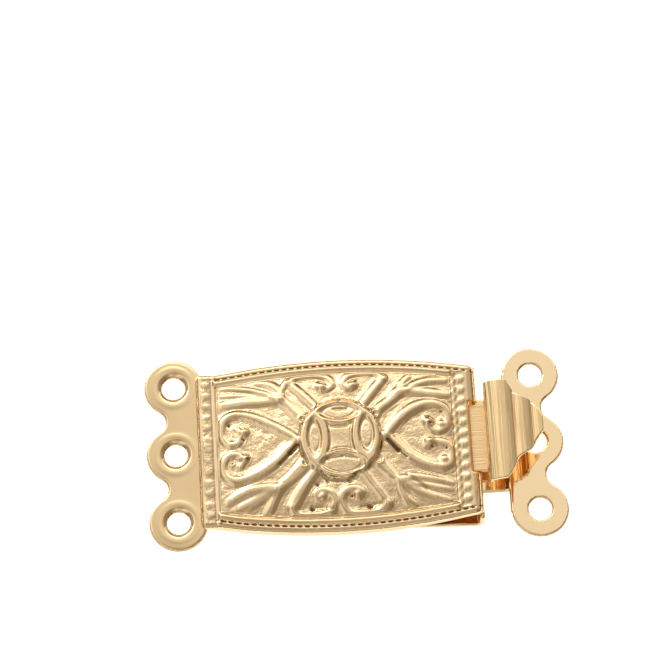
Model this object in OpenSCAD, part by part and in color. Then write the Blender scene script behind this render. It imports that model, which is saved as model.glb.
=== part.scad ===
// Box clasp for a three-strand necklace or bracelet.
// X runs along the clasp to the tongue's rings, Y across it, Z out of the face.
// The origin is the centre of the back plate's underside.

/* [Box] */
// Length of the back plate, from its free end to the outside of the end wall
plate_len = 16.1; // [15:0.1:18]
// Width of the back plate and of the end wall
plate_w = 9.8; // [9:0.1:11]
// Height of the box, from under the back plate to the top of the flat face
box_h = 2.2; // [2.1:0.05:2.8]
// Thickness of the sheet that the box is folded from
sheet = 0.3; // [0.25:0.01:0.34]
// Outer radius of the bend between face and end wall
top_bend_r = 0.65; // [0.5:0.05:0.8]
// Outer radius of the bend between end wall and back plate
low_bend_r = 0.5; // [0.4:0.05:0.6]

/* [Face] */
// How far the face reaches past the free end of the back plate
face_overhang = 1.1; // [0.4:0.1:2]
// Width of the face at its two ends
face_end_w = 9.7; // [9:0.1:11]
// Width of the face at its middle, where its long edges bow out
face_mid_w = 11.2; // [10.2:0.1:12.4]
// Depth of the turned-down lip on the long edges
lip_h = 0.8; // [0.6:0.05:1]
// Rise of the domed panel at its centre
dome_h = 0.45; // [0.3:0.05:0.8]
// Width of the border round the panel
border_w = 0.8; // [0.7:0.05:1.1]
// Width of the raised rib along the border
rib_w = 0.45; // [0.3:0.05:0.55]
// Height of the rib above the flat face
rib_h = 0.22; // [0.15:0.01:0.35]
// Height of the raised ornament above the dome
relief_h = 0.25; // [0.15:0.01:0.35]
// Radius of the round boss in the ornament
boss_r = 2.42; // [2:0.05:2.8]
// Width of the ornament's strokes
stroke_w = 0.44; // [0.3:0.02:0.56]
// Diameter of the beads on the two ends of the face
bead_d = 0.46; // [0.36:0.02:0.52]
// Number of beads on the left bar
bead_count = 13; // [10:1:17]
// Number of beads beside the end wall
pearl_count = 12; // [9:1:13]

/* [Rings] */
// Distance between neighbouring strand holes
pitch = 4.35; // [4:0.05:4.8]
// Diameter of the strand holes in the box
box_hole_d = 1.5; // [1.2:0.05:1.7]
// Outer diameter of the box's rings
box_ring_d = 3.6; // [3.2:0.05:3.8]
// Distance from the bead bar to the centres of the box's holes
box_ring_reach = 1.41; // [1.3:0.01:1.9]
// Drop of the box's ring plate below the flat face
ring_drop = 0.25; // [0.1:0.01:0.4]
// Depth of the rolled rim round the box's rings
rim_h = 0.55; // [0.4:0.05:0.8]
// Diameter of the strand holes in the tongue
tongue_hole_d = 1.55; // [1.2:0.05:1.7]
// Outer diameter of the tongue's rings
tongue_ring_d = 3.52; // [3.2:0.02:3.8]
// Depth of the hollows between rings, from the hole centres
valley_reach = 0.55; // [0.3:0.05:0.8]

/* [Tongue] */
// Thickness of the sheet that the tongue is folded from
leaf = 0.3; // [0.25:0.01:0.33]
// Width of the tongue's wide leaves
leaf_w = 6.1; // [5.4:0.1:6.6]
// Width of the neck between the leaf and the thumb grip
neck_w = 4.3; // [3.6:0.1:4.7]
// Length of the tongue inside the box, from its fold to the inside of the end wall
tongue_in = 12.6; // [11.5:0.1:13.5]
// Distance from the end wall to the centres of the tongue's holes
tongue_reach = 3.45; // [3.3:0.05:4.2]
// Gap between the two leaves at the fold
fold_gap = 0.28; // [0.24:0.01:0.36]
// Rise of the sprung leaf above the lower leaf, in degrees
spring_angle = 2.6; // [2.3:0.1:3]
// Step up from the lower leaf to the ring plate
joggle = 0.28; // [0.1:0.02:0.4]

/* [Thumb grip] */
// Distance from the end wall to the grip's upright
grip_start = 0.34; // [0.25:0.01:0.6]
// Width of the grip
grip_w = 6.1; // [5.4:0.1:6.8]
// Height of the grip's creases above the underside of the back plate
grip_z = 3.4; // [3.2:0.05:3.8]
// Length of the sloping strip before the first ridge
ramp_len = 0.56; // [0.4:0.02:0.7]
// Width of the grip's two whole ridges
ridge_w = 1.1; // [0.9:0.02:1.2]
// Width of the last ridge, which the tip cuts short
last_ridge_w = 0.75; // [0.6:0.05:0.85]
// Height of the ridges above their creases
ridge_h = 0.24; // [0.15:0.01:0.32]
// Width of the grip's blunt tip
tip_w = 0.9; // [0.6:0.05:1.4]

/* [Fits] */
// Play between the tongue and its window, on each side
side_play = 0.1; // [0.06:0.01:0.14]
// Gap between sheets that lie on each other
layer_gap = 0.05; // [0.04:0.01:0.08]
// Play between the latch shoulders and the end wall
latch_play = 0.3; // [0.26:0.01:0.36]

/* [Hidden] */
$fn = 96;
eps = 0.01;
// How far cutting and bounding shapes reach past what they cut
past = 1;

// Box: the long stations and levels that the pieces share
wall_x = plate_len / 2;
wall_in = wall_x - sheet;
face_x0 = -plate_len / 2 - face_overhang;
bead_bar_w = bead_d + 0.1;
panel_x0 = face_x0 + bead_bar_w + rib_w / 2;
panel_x1 = wall_x - top_bend_r - bead_d;
panel_cx = (panel_x0 + panel_x1) / 2;
flat_x1 = wall_x - top_bend_r;
barrel_cx = (face_x0 + bead_bar_w + flat_x1) / 2;
barrel_chord = flat_x1 - face_x0 - bead_bar_w;
barrel_rise = (face_mid_w - face_end_w) / 2;
barrel_r = barrel_chord * barrel_chord / (8 * barrel_rise) + barrel_rise / 2;
panel_half_w = face_mid_w / 2 - border_w;
// How far the domed sheet reaches under the rib
panel_tuck = 0.1;
// Cells of the domed sheet's grid along the face and across it
dome_cells_x = 12;
dome_cells_y = 8;
dome_reach = norm([(panel_x1 - panel_x0) / 2, face_end_w / 2 - border_w]);
dome_r = (dome_reach * dome_reach + dome_h * dome_h) / (2 * dome_h);
dome_z = box_h + dome_h - dome_r;

// Rings: the levels of the two plates
box_ring_x = face_x0 - box_ring_reach;
box_ring_top = box_h - ring_drop;
tongue_ring_x = wall_x + tongue_reach;
base_z = sheet + layer_gap;
ring_z = base_z + joggle;
bore_lead = 0.1;

// Tongue: the fold, the sprung leaf and the latch
fold_r = leaf + fold_gap / 2;
fold_x = wall_in - tongue_in + fold_r;
fold_z = base_z + fold_r;
shoulder_x = wall_in - latch_play;
shoulder_run = shoulder_x - fold_x;
spring_top = fold_z + fold_r;
window_top = spring_top + layer_gap;
neck_end = wall_x + grip_start + leaf;
notch_x = wall_x - top_bend_r;

// Thumb grip: where its ridges start and end
grip_x0 = wall_x + grip_start;
ridge_x0 = grip_x0 + ramp_len;
grip_x1 = ridge_x0 + 2 * ridge_w + last_ridge_w;
ridge_r = ridge_w * ridge_w / (8 * ridge_h) + ridge_h / 2;
ridge_steps = 10;
neck_top = spring_top + (grip_x0 - fold_x) * tan(spring_angle);

// Distance of the boss from the panel's centre, towards the tongue
boss_shift = 0.24;
boss_x = panel_cx + boss_shift;
// Ornament: centre lines as shares of the panel's half width, [along, across]
heart_line = [[0, 0], [0.3, 0.2], [0.56, 0.42], [0.8, 0.44], [0.92, 0.28], [0.84, 0.12], [0.72, 0.2]];
scroll_line = [[0.3, 0.38], [0.46, 0.64], [0.62, 0.9], [0.42, 0.97], [0.18, 0.94], [0.09, 0.8],
    [0.2, 0.66], [0.36, 0.7], [0.3, 0.82]];
branch_line = [[0.42, 0.3], [0.62, 0.46], [0.84, 0.66], [1.12, 0.76], [1.4, 0.76]];
leaf_line = [[0.8, 0.62], [0.92, 0.76], [1.08, 0.9]];
twig_line = [[0.8, 0.6], [1.06, 0.6], [1.34, 0.56]];
// Boss, as shares of its radius: the hearts' points, the lenses and the square recess
heart_gap = 1.14;
lens_place = 0.67;
lens_len = 0.95;
lens_w = 0.34;
core_half = 0.36;
core_hollow = 0.86;

// Grip seen from above, a row for each corner:
// [ridges past the ramp, half width as a share of the grip's width]
grip_corners = [[0.55, 0.5], [1, 0.37], [2, 0.25]];

// Point at share t between rows i and i + 1 of a line, on a smooth curve through its rows
function on_curve(line, i, t) =
    let (
        a = line[max(i - 1, 0)],
        b = line[i],
        c = line[i + 1],
        d = line[min(i + 2, len(line) - 1)]
    )
    b + t * ((c - a) / 2 + t * (a - 2.5 * b + 2 * c - d / 2 + t * (1.5 * (b - c) + (d - a) / 2)));

// Smooth centre line in millimetres, with a few steps between rows
function curve(line, scale, steps) = [
    for (i = [0:len(line) - 2])
        for (s = [0:steps - 1])
            scale * on_curve(line, i, s / steps),
    scale * line[len(line) - 1]
];

// Left side of a stroke: each point moved half a width square to its way
function side(path, offset) = [
    for (i = [0:len(path) - 1])
        let (
            way = path[min(i + 1, len(path) - 1)] - path[max(i - 1, 0)],
            square = [-way[1], way[0]] / norm(way)
        )
        path[i] + offset * square
];

function reversed(list) = [for (i = [len(list) - 1:-1:0]) list[i]];

// One stroke of the ornament with round ends
module stroke(line, width = stroke_w, scale = panel_half_w, steps = 3) {
    path = curve(line, scale, steps);
    polygon(concat(side(path, width / 2), reversed(side(path, -width / 2))));
    for (end = [path[0], path[len(path) - 1]])
        translate(end) circle(d = width);
}

// Copies its child to both sides of the long axis
module both_sides() {
    children();
    mirror([0, 1]) children();
}

// Copies its child to both ends of the panel
module both_ends() {
    children();
    mirror([1, 0]) children();
}

// Lens-shaped recess of the boss
module lens(length, width) {
    r = length * length / (4 * width) + width / 4;
    intersection() {
        translate([0, width / 2 - r]) circle(r = r);
        translate([0, r - width / 2]) circle(r = r);
    }
}

// Round boss with four lens-shaped recesses round a square one with hollow sides
module boss_outline() {
    core = boss_r * core_half;
    difference() {
        circle(r = boss_r);
        for (turn = [0:90:270])
            rotate(turn) translate([0, boss_r * lens_place]) lens(boss_r * lens_len, boss_r * lens_w);
        difference() {
            square(2 * core, center = true);
            for (turn = [0:90:270])
                rotate(turn) translate([0, core + boss_r * core_hollow]) circle(r = boss_r);
        }
    }
}

// Height of the dome's surface at a distance from the panel's centre
function dome_top(reach) = dome_z + sqrt(dome_r * dome_r - reach * reach);

// Raises an outline from inside the dome's sheet to the ornament's height above it.
// reach is how far the outline's middle lies from the panel's centre.
module raised(reach) {
    translate([boss_x, 0, dome_top(reach) - sheet / 2])
        linear_extrude(height = relief_h + sheet / 2) children();
}

// Everything raised on the panel: boss, hearts, scrolls and forked branches
module ornament() {
    half = panel_half_w;
    raised(boss_r / 2) boss_outline();
    raised(0.95 * half) both_ends() translate([boss_r * heart_gap, 0]) both_sides() stroke(heart_line);
    raised(0.75 * half) both_ends() both_sides() stroke(scroll_line);
    raised(0.95 * half) both_ends() both_sides() {
        stroke(branch_line);
        stroke(leaf_line);
        stroke(twig_line);
    }
}

// Outline of the face: two straight ends and two bowed long edges, moved in by inset
module barrel(inset, x0, x1) {
    intersection() {
        translate([x0, -face_mid_w / 2]) square([x1 - x0, face_mid_w]);
        translate([barrel_cx, face_mid_w / 2 - barrel_r]) circle(r = barrel_r - inset, $fn = 200);
        translate([barrel_cx, barrel_r - face_mid_w / 2]) circle(r = barrel_r - inset, $fn = 200);
    }
}

// Outline of three rings in a row along Y with rounded hollows between them.
// reach is how far the hollows lie from the hole centres, toward +X.
module ring_row(ring_r, reach, inset = 0) {
    half = pitch / 2;
    valley_r = (half * half + reach * reach - ring_r * ring_r) / (2 * (ring_r - reach));
    valley_x = reach + valley_r;
    difference() {
        union() {
            for (k = [-1, 0, 1])
                translate([0, k * pitch]) circle(r = ring_r - inset);
            for (k = [-0.5, 0.5])
                translate([0, k * pitch]) polygon([[0, -half], [valley_x, 0], [0, half]]);
        }
        for (k = [-0.5, 0.5])
            translate([valley_x, k * pitch]) circle(r = valley_r + inset);
    }
}

// Quarter ring in the XZ plane, from the top of a bend round to its side
module bend(outer_r, thick) {
    intersection() {
        difference() {
            circle(r = outer_r);
            circle(r = outer_r - thick);
        }
        square(outer_r);
    }
}

// Extrudes a profile drawn as [x, z] across the clasp, centred on its long axis
module across(width) {
    translate([0, width / 2, 0]) rotate([90, 0, 0]) linear_extrude(height = width) children();
}

// Folded sheet of the box seen from the side: end wall with its two bends, and back plate
module fold_profile() {
    translate([wall_x - top_bend_r, box_h - top_bend_r]) bend(top_bend_r, sheet);
    translate([wall_in, low_bend_r]) square([sheet, box_h - top_bend_r - low_bend_r]);
    translate([wall_x - low_bend_r, low_bend_r]) mirror([0, 1]) bend(low_bend_r, sheet);
    translate([-plate_len / 2, 0]) square([plate_len - low_bend_r, sheet]);
}

// Face sheet, its turned-down lip and the rib along its border
module face_frame() {
    translate([0, 0, box_h - sheet]) linear_extrude(height = sheet) difference() {
        barrel(0, face_x0, flat_x1);
        barrel(border_w, panel_x0, panel_x1);
    }
    translate([0, 0, box_h - lip_h]) linear_extrude(height = lip_h - eps) difference() {
        barrel(0, face_x0 + bead_bar_w, flat_x1);
        barrel(sheet, face_x0, wall_x);
    }
    translate([0, 0, box_h - sheet]) linear_extrude(height = sheet + rib_h) difference() {
        barrel(border_w - rib_w, panel_x0 - rib_w / 2, panel_x1 + rib_w / 2);
        barrel(border_w, panel_x0, panel_x1);
    }
}

// Half width of the panel at a station along the face, reaching a little under the rib
function panel_half(x) =
    sqrt(barrel_r * barrel_r - pow(x - barrel_cx, 2)) - barrel_r + face_mid_w / 2 - border_w + panel_tuck;

// Domed sheet of the panel: a grid of shares along and across, with the sheet's thickness
module dome_sheet() {
    rows = dome_cells_y + 1;
    half = (dome_cells_x + 1) * rows;
    length = panel_x1 - panel_x0 + 2 * panel_tuck;
    skin = [
        for (drop = [0, sheet])
            for (i = [0:dome_cells_x])
                for (j = [0:dome_cells_y])
                    let (
                        x = panel_x0 - panel_tuck + length * i / dome_cells_x,
                        y = panel_half(x) * (2 * j / dome_cells_y - 1)
                    )
                    [x, y, dome_top(norm([x - panel_cx, y])) - drop]
    ];
    cell = [for (i = [0:dome_cells_x - 1]) for (j = [0:dome_cells_y - 1]) i * rows + j];
    top = [for (k = cell) each [[k, k + 1, k + rows], [k + 1, k + rows + 1, k + rows]]];
    rim = concat(
        [for (i = [0:dome_cells_x]) i * rows],
        [for (j = [1:dome_cells_y]) dome_cells_x * rows + j],
        [for (i = [dome_cells_x - 1:-1:0]) i * rows + dome_cells_y],
        [for (j = [dome_cells_y - 1:-1:1]) j]
    );
    count = len(rim);
    wall = [
        for (i = [0:count - 1])
            let (a = rim[i], b = rim[(i + 1) % count])
            each [[a, b, b + half], [a, b + half, a + half]]
    ];
    polyhedron(
        points = skin,
        faces = concat(
            top,
            [for (f = top) [f[2] + half, f[1] + half, f[0] + half]],
            wall
        )
    );
}

// Domed panel with its ornament, hollow underneath like a stamping
module domed_panel() {
    dome_sheet();
    ornament();
}

// Row of beads along Y, half sunk in the flat face
module bead_row(x, count, length) {
    step = length / count;
    for (i = [0:count - 1])
        translate([x, (i + 0.5) * step - length / 2, box_h]) sphere(d = bead_d);
}

// Three box rings with a rolled rim and dished holes, joined to the face
module box_rings() {
    ring_r = box_ring_d / 2;
    neck = box_ring_reach + eps;
    difference() {
        union() {
            translate([box_ring_x, 0, box_ring_top - sheet]) linear_extrude(height = sheet) {
                mirror([1, 0]) ring_row(ring_r, valley_reach);
                translate([0, -pitch]) square([neck, 2 * pitch]);
            }
            translate([box_ring_x, 0, box_ring_top - rim_h]) linear_extrude(height = rim_h)
                difference() {
                    mirror([1, 0]) ring_row(ring_r, valley_reach);
                    mirror([1, 0]) ring_row(ring_r, valley_reach, sheet);
                    translate([0, -pitch]) square([ring_r, 2 * pitch]);
                }
            for (k = [-1, 0, 1])
                translate([box_ring_x, k * pitch, box_ring_top - rim_h])
                    cylinder(d = box_hole_d + 2 * sheet, h = rim_h);
            translate([face_x0, -pitch - ring_r / 2, box_ring_top - sheet])
                cube([bead_bar_w, 2 * pitch + ring_r, sheet + ring_drop / 2]);
        }
        for (k = [-1, 0, 1])
            translate([box_ring_x, k * pitch, box_ring_top]) {
                translate([0, 0, -rim_h - past]) cylinder(d = box_hole_d, h = rim_h + 2 * past);
                translate([0, 0, -bore_lead])
                    cylinder(d1 = box_hole_d, d2 = box_hole_d + 2 * bore_lead, h = bore_lead + eps);
            }
    }
}

// Window that the tongue enters by: a wide slot, with a narrow notch above it
module window() {
    deep = top_bend_r + past;
    wide = leaf_w + 2 * side_play;
    narrow = neck_w + 2 * side_play;
    translate([wall_in - sheet, -wide / 2, sheet]) cube([deep, wide, window_top - sheet]);
    translate([notch_x, -narrow / 2, sheet]) cube([deep, narrow, box_h]);
}

module box_shell() {
    color("goldenrod") difference() {
        union() {
            across(plate_w) fold_profile();
            face_frame();
            domed_panel();
            bead_row(face_x0 + bead_bar_w / 2, bead_count, face_end_w - bead_d);
            bead_row(panel_x1 + bead_d / 2 + rib_w / 2, pearl_count, face_end_w - bead_d);
            box_rings();
        }
        window();
    }
}

// Lower leaf, its fold and the step up to the ring plate, seen from the side
module base_profile() {
    step_x = tongue_ring_x - tongue_ring_d / 2 - sheet;
    translate([fold_x, base_z]) square([step_x - fold_x + leaf, leaf]);
    translate([step_x, base_z]) square([leaf, joggle + leaf]);
    translate([fold_x, fold_z]) intersection() {
        difference() {
            circle(r = fold_r);
            circle(r = fold_r - leaf);
        }
        translate([-fold_r, -fold_r]) square([fold_r, 2 * fold_r]);
    }
}

module tongue_base() {
    ring_r = tongue_ring_d / 2;
    web = 2 * pitch;
    color("burlywood") difference() {
        union() {
            across(leaf_w) base_profile();
            translate([tongue_ring_x, 0, ring_z]) linear_extrude(height = leaf) {
                ring_row(ring_r, valley_reach);
                translate([-ring_r, -web / 2]) square([ring_r, web]);
            }
            translate([tongue_ring_x - ring_r - eps, -leaf_w / 2, ring_z]) cube([ring_r, leaf_w, leaf]);
        }
        for (k = [-1, 0, 1])
            translate([tongue_ring_x, k * pitch, ring_z - past])
                cylinder(d = tongue_hole_d, h = leaf + 2 * past);
    }
}

// Places its children on the sprung leaf: the origin goes to the top of the fold
module on_spring() {
    translate([fold_x, 0, spring_top]) rotate([0, -spring_angle, 0]) children();
}

module tongue_spring() {
    run = shoulder_run / cos(spring_angle);
    color("burlywood") on_spring()
        translate([0, -leaf_w / 2, -leaf]) cube([run, leaf_w, leaf]);
}

// Rise of the ridges above their creases at a distance past the ramp
function ridge_rise(run) =
    let (off = run - ridge_w * (floor(run / ridge_w) + 0.5))
    sqrt(ridge_r * ridge_r - off * off) - ridge_r + ridge_h;

// Corrugated sheet of the grip seen from the side, as [x, z]: the ramp, then the ridges
module ridge_profile() {
    length = grip_x1 - ridge_x0;
    step = ridge_w / ridge_steps;
    runs = concat([for (i = [0:floor(length / step)]) i * step], [length]);
    top = concat([[grip_x0, grip_z - ridge_h]], [for (run = runs) [ridge_x0 + run, grip_z + ridge_rise(run)]]);
    polygon(concat(top, [for (p = reversed(top)) p - [0, leaf]]));
}

// Outline of the grip from above: square at the neck, narrowing by ridges to a blunt tip
module grip_outline() {
    half = concat(
        [[grip_x0, grip_w / 2]],
        [for (c = grip_corners) [ridge_x0 + c[0] * ridge_w, c[1] * grip_w]],
        [[grip_x1, tip_w / 2]]
    );
    polygon(concat(half, [for (p = reversed(half)) [p[0], -p[1]]]));
}

module thumb_grip() {
    neck_run = (grip_x0 + leaf - fold_x) / cos(spring_angle);
    shoulder = shoulder_run / cos(spring_angle);
    color("goldenrod") union() {
        on_spring() translate([shoulder, -neck_w / 2, -leaf]) cube([neck_run - shoulder, neck_w, leaf]);
        translate([grip_x0, -neck_w / 2, neck_top - leaf])
            cube([leaf, neck_w, grip_z - ridge_h - neck_top + leaf]);
        intersection() {
            across(grip_w + past) ridge_profile();
            linear_extrude(height = grip_z + past) grip_outline();
        }
    }
}

box_shell();
tongue_base();
tongue_spring();
thumb_grip();
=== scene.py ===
"""Looks of the box clasp: every piece is a sheet worked out on a grid, in the CAD part's frame."""

import math

import bpy
import numpy as np
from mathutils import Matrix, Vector


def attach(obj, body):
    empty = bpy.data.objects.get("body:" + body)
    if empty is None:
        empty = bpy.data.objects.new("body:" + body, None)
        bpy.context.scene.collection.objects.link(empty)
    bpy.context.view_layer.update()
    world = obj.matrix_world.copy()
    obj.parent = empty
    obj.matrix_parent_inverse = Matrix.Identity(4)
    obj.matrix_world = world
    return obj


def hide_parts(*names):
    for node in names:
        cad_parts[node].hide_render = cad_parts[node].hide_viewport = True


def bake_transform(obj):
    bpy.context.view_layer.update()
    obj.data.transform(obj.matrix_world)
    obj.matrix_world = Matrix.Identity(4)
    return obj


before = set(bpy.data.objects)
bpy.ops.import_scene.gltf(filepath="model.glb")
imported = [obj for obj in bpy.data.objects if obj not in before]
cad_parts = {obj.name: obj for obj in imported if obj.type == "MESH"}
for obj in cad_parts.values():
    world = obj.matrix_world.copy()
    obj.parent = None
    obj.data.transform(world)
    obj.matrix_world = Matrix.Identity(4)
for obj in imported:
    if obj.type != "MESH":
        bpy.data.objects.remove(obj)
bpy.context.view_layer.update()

# Sizes in millimetres. Places are in the CAD part's frame.
MM = 0.001
SHEET = 0.3
BOX_H = 2.2
WALL_X = 8.05
TOP_BEND, LOW_BEND = 0.65, 0.5
# Back plate: the x of its free end, and its half widths at the fold and at that end
PLATE_X0 = -8.05
PLATE_HALF, PLATE_END_HALF = 4.9, 4.45
# Its sides lie this far inside those half widths, but at the fold the near side is twice NEAR_OUT further out
SIDE_IN, NEAR_OUT = 0.06, 0.1
# Face: its long edges are arcs of the radius BARREL_R about x = BARREL_CX
FACE_X0, FACE_X1 = -9.26, 7.4
FACE_MID_HALF, FACE_END_HALF, CORNER_R = 5.6, 4.97, 0.35
BARREL_CX, BARREL_R = -0.595, 42.99
# Its edges round off by EDGE_R and run down as lips of LIP_H, which lose LIP_LOSS of that towards the fold
EDGE_R, LIP_H, LIP_LOSS = 0.3, 0.62, 0.62
# At the bend each side steps in by BEND_IN. The left end sits END_SHIFT off the middle and slopes down by
# END_DROP. The underside is hollow, HOLLOW_H deep in the middle.
FACE_BEND, BEND_IN = math.radians(88), 0.12
END_SHIFT, END_DROP, HOLLOW_H = 0.07, 0.27, 0.32
# Three rings in a row, PITCH apart; the web between them is WEB_HALF wide to each side on the box
PITCH = 4.35
BOX_RING = {"x": -10.56, "r": 1.8, "hole": 0.7, "top": 1.95, "reach": 0.55}
TONGUE_RING = {"x": 11.5, "r": 1.76, "hole": 0.72, "reach": 0.55}
WEB_HALF = 4.75
# Rim and holes of the box's rings: how deep each form is and over which distance it runs
ROLL_H, ROLL_RUN = 0.11, 0.3
DISH_H, DISH_RUN = 0.14, 0.26
CROWN_H, CROWN_AT, CROWN_RUN = 0.03, 0.5, 0.2
# Tongue: its leaves, the heights of the lower one and of its ring plate, and the step between them
LEAF, LEAF_HALF = 0.3, 3.05
BASE_MID, RING_MID = 0.5, 0.78
STEP_LEAD, STEP_RUN = 0.22, 0.34
FOLD_X, FOLD_Z, FOLD_MID_R = -4.41, 0.79, 0.29
# Height at the fold up to which the sprung leaf would bend; no bend is built, and it only goes into the
# spring's list of bodies, whose contents are not used
BEND_TOP = 0.93
SPRING_ANGLE = math.radians(2.6)
SHOULDER_X = 7.45
# Grip: its neck, upright and ridges. The neck and its notch sit GRIP_SHIFT off the clasp's middle.
GRIP_X0, RIDGE_X0, GRIP_X1 = 8.39, 9.0, 11.9
GRIP_Z, GRIP_HALF, GRIP_SHIFT = 3.4, 3.15, 0.12
NECK_HALF, NECK_BENDS = 2.19, [0.16, 0.17]
RIDGE_W, RIDGE_H, KNEE_H = 1.1, 0.2, 0.1
# The grip's plate begins this far under its top, and the brushed neck ends at this height
PLATE_DROP, BRUSH_Z = 0.62, 1.9
# Corners of the grip's tapered end, [x, y] on its far side and on its near side
GRIP_FAR = [[9.75, 3.25], [10.15, 2.46], [10.55, 2.2], [11.3, 1.76], [11.7, 1.2], [11.9, 0.65]]
GRIP_NEAR = [[11.9, -0.2], [11.5, -0.7], [11.05, -1.38], [10.25, -1.85], [9.65, -3.0], [9.5, -3.13]]
# Window of the tongue in the end wall, and the neck's notch over it
WINDOW_HALF, WINDOW_TOP, NOTCH_HALF = 3.15, 1.28, 2.3


# ---- sheets -------------------------------------------------------------------------------

def add_object(data, at=(0, 0, 0), facing=None):
    """New object of the scene with that data, at a place in millimetres; a lamp or camera faces a way."""
    made = bpy.data.objects.new(data.name, data)
    made.location = Vector(at) * MM
    if facing:
        made.rotation_mode = "QUATERNION"
        made.rotation_quaternion = facing.to_track_quat("-Z", "Y")
    bpy.context.scene.collection.objects.link(made)
    return made


def make_piece(name, sheet, body, replaced, material, attributes=None):
    """Puts a skin's points, in millimetres, and faces into a mesh, shades it smooth and names the CAD node
    that it stands for, the body that carries it and its colour slot. A piece given several bodies is only
    fixed in place and carried by none of them."""
    points, faces = sheet
    mesh = bpy.data.meshes.new(name)
    used = np.unique(np.concatenate([part.ravel() for part in faces]))
    number = np.zeros(len(points), int)
    number[used] = np.arange(len(used))
    corners = [face for part in faces for face in number[part].tolist()]
    mesh.from_pydata((points[used] * MM).tolist(), [], corners)
    mesh.shade_smooth()
    for key, values in (attributes or {}).items():
        made = mesh.attributes.new(key, "FLOAT", "POINT")
        made.data.foreach_set("value", values[used].astype(np.float32))
    mesh.validate()
    mesh.materials.append(material)
    piece = add_object(mesh)
    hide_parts(replaced)
    if isinstance(body, str):
        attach(piece, body)
    else:
        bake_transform(piece)


def both_sides(top, bottom=None):
    """Values of a sheet's top points, then those of its bottom ones: the same, unless they are given."""
    bottom = top if bottom is None else bottom
    return np.concatenate([top.ravel(), bottom.ravel()])


def skin(top, bottom, kept):
    """Closed skin round a sheet. top and bottom are grids of points and kept says which grid points are in
    the sheet: a cell with four kept corners is a quad, one with three is a triangle, and at the rim the two
    sides share the point half way between them."""
    rows, columns = kept.shape
    number = np.arange(rows * columns).reshape(rows, columns)
    corner = np.stack([number[:-1, :-1], number[1:, :-1], number[1:, 1:], number[:-1, 1:]], -1).reshape(-1, 4)
    held = kept.ravel()[corner]
    quads = corner[held.all(1)]
    three = corner[held.sum(1) == 3]
    gap = np.argmin(kept.ravel()[three], 1)
    triangles = np.stack([three[np.arange(len(three)), (gap + k) % 4] for k in (1, 2, 3)], 1)
    edges = np.concatenate(
        [np.stack([f, np.roll(f, -1, 1)], -1).reshape(-1, 2) for f in (quads, triangles)]
    )
    pairs, uses = np.unique(np.sort(edges, 1), axis=0, return_counts=True)
    rim = np.zeros(rows * columns, bool)
    rim[pairs[uses == 1].ravel()] = True
    upper, lower = top.reshape(-1, 3).copy(), bottom.reshape(-1, 3)
    upper[rim] = (upper[rim] + lower[rim]) / 2
    low = np.where(rim, number.ravel(), number.ravel() + rows * columns)
    faces = [f for f in (quads, triangles, low[quads[:, ::-1]], low[triangles[:, ::-1]]) if len(f)]
    return np.concatenate([upper, lower]), faces


def rounded(inside, radius):
    """Share of the full thickness at a distance inside the outline: a quarter circle of that radius."""
    run = np.clip(inside / radius, 0, 1)
    return np.sqrt(1 - (1 - run) ** 2)


def cut_grid(u_lines, v_lines, outline, reach, nudge=1e-3):
    """Grid points, with those within reach of the outline moved on to it along the distance's slope, and
    their distance outside it. The slope is taken by central differences."""
    u, v = np.meshgrid(u_lines, v_lines, indexing="ij")
    near = np.abs(outline(u, v)) < reach
    for _ in range(3):
        away = outline(u, v)
        du = (outline(u + nudge, v) - outline(u - nudge, v)) / (2 * nudge)
        dv = (outline(u, v + nudge) - outline(u, v - nudge)) / (2 * nudge)
        size = np.maximum(du * du + dv * dv, 0.05)
        u = np.where(near, u - away * du / size, u)
        v = np.where(near, v - away * dv / size, v)
    return u, v, np.where(near, 0, outline(u, v))


def cut_skin(top, bottom, away):
    """Closed skin round the points of a cut grid that lie inside its outline or on it."""
    return skin(top, bottom, away <= 1e-9)


def sheet_along(u, v, away, path, thickness, edge):
    """Closed skin of a sheet of that thickness. path(u) gives x, z and the heading of the sheet's middle; v
    runs across the clasp, and the sides round off over edge millimetres."""
    x, z, heading = path(u)
    half = thickness / 2 * rounded(-away, edge)
    shift = np.stack([-np.sin(heading) * half, np.zeros_like(half), np.cos(heading) * half], -1)
    middle = np.stack([x, v, z], -1)
    return cut_skin(middle + shift, middle - shift, away)


def bent_line(corners, radii, step=0.02):
    """Line through [x, z] corners. Each corner between the ends is rounded by an arc of its radius, with a
    point about every step."""
    points = [np.array(corners[0], float)]
    for i, radius in enumerate(radii, 1):
        before, here, after = (np.array(corners[k], float) for k in (i - 1, i, i + 1))
        a = (here - before) / np.linalg.norm(here - before)
        b = (after - here) / np.linalg.norm(after - here)
        turn = math.atan2(a[0] * b[1] - a[1] * b[0], a @ b)
        start = here - a * (radius * math.tan(abs(turn) / 2))
        angles = np.linspace(0, abs(turn), max(2, int(abs(turn) * radius / step) + 1))
        square = np.array([-a[1], a[0]]) * math.copysign(1, turn)
        ahead, aside = np.sin(angles) * radius, (1 - np.cos(angles)) * radius
        points.extend(start + np.outer(ahead, a) + np.outer(aside, square))
    points.append(np.array(corners[-1], float))
    return np.array(points)


def path_along(line):
    """Path along a line of [x, z] points: path(u) gives x, z and the heading at the length u. Returns the
    path and the length at each point."""
    steps = np.diff(line, axis=0)
    length = np.concatenate([[0], np.cumsum(np.linalg.norm(steps, axis=1))])
    heading = np.unwrap(np.arctan2(steps[:, 1], steps[:, 0]))
    middle = (length[1:] + length[:-1]) / 2

    def path(u):
        x, z = np.interp(u, length, line[:, 0]), np.interp(u, length, line[:, 1])
        return x, z, np.interp(u, middle, heading)

    return path, length


def even(start, stop, step):
    """Evenly spaced lines from start to stop, at most step apart."""
    return np.linspace(start, stop, max(2, int(math.ceil(abs(stop - start) / step)) + 1))


def lines(*parts):
    """Grid lines from several stretches, each once."""
    joined = np.sort(np.concatenate(parts))
    return joined[np.concatenate([[True], np.diff(joined) > 1e-6])]


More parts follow.
